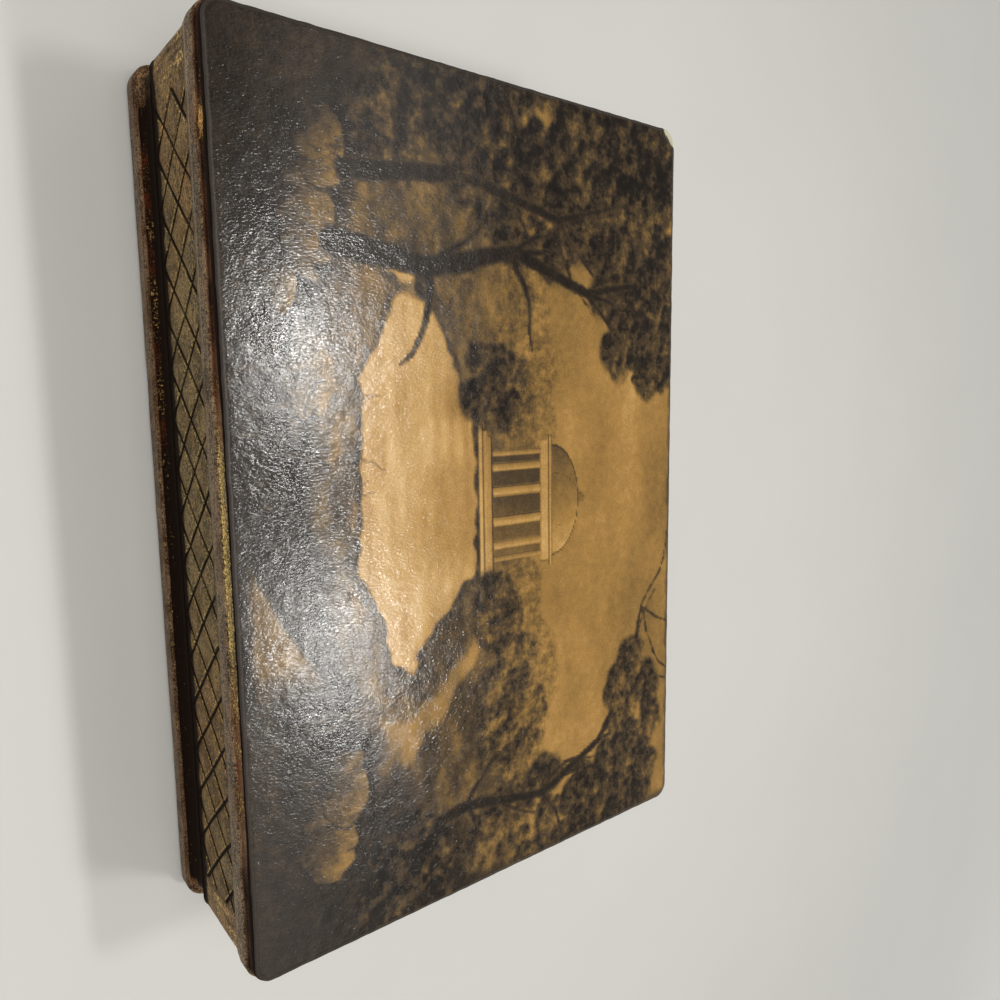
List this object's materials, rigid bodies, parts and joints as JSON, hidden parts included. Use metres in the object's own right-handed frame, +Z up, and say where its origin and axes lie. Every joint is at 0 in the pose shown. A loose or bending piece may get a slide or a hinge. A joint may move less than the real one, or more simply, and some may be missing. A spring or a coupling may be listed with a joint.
{
  "type": "jewelry box",
  "caption": "Low rectangular wooden keepsake box with a hinged lid, moulded lid and base edges, lattice-tooled gilt walls and a padded lining.",
  "frame": {"origin": "under the middle of the box, on the surface that it stands on", "axes": "+X along the length to the right seen from the front, +Y to the hinge side, +Z up"},
  "size_m": [0.2434, 0.1632, 0.059],
  "materials": {
    "gilding": "antique gilding over gesso on wood, tooled and glazed brown",
    "moulding": "dark glazed gilding over gesso on wood, rubbed on the arrises",
    "print": "printed paper under brushed varnish",
    "velvet": "short pile velvet",
    "satin": "padded satin",
    "felt": "wool felt",
    "brass": "satin, tarnished"
  },
  "bodies": {
    "case": {"base_felt": "felt", "base_board": "moulding", "wall_front": "gilding", "wall_back": "gilding", "wall_left": "gilding", "wall_right": "gilding", "liner_front": "velvet", "liner_back": "velvet", "liner_left": "velvet", "liner_right": "velvet", "divider_cross": "velvet", "divider_long": "velvet", "floor_pad_front": "velvet", "floor_pad_back": "velvet", "ring_roll_1": "velvet", "ring_roll_2": "velvet", "ring_roll_3": "velvet", "ring_roll_4": "velvet", "hinge_left_wall_leaf": "brass", "hinge_left_pin": "brass", "hinge_left_wall_screw_1": "brass", "hinge_left_wall_screw_2": "brass", "hinge_right_wall_leaf": "brass", "hinge_right_pin": "brass", "hinge_right_wall_screw_1": "brass", "hinge_right_wall_screw_2": "brass"},
    "lid": {"lid_board": "moulding", "lid_print": "print", "lid_pad": "satin", "hinge_left_lid_leaf": "brass", "hinge_left_lid_screw_1": "brass", "hinge_left_lid_screw_2": "brass", "hinge_right_lid_leaf": "brass", "hinge_right_lid_screw_1": "brass", "hinge_right_lid_screw_2": "brass"}
  },
  "joints": [
    {"name": "lid_hinge", "type": "hinge", "parent": "case", "child": "lid", "pos_m": [0, 0.07976, 0.0472], "axis": [-1, 0, 0], "range_deg": [0, 98]}
  ]
}
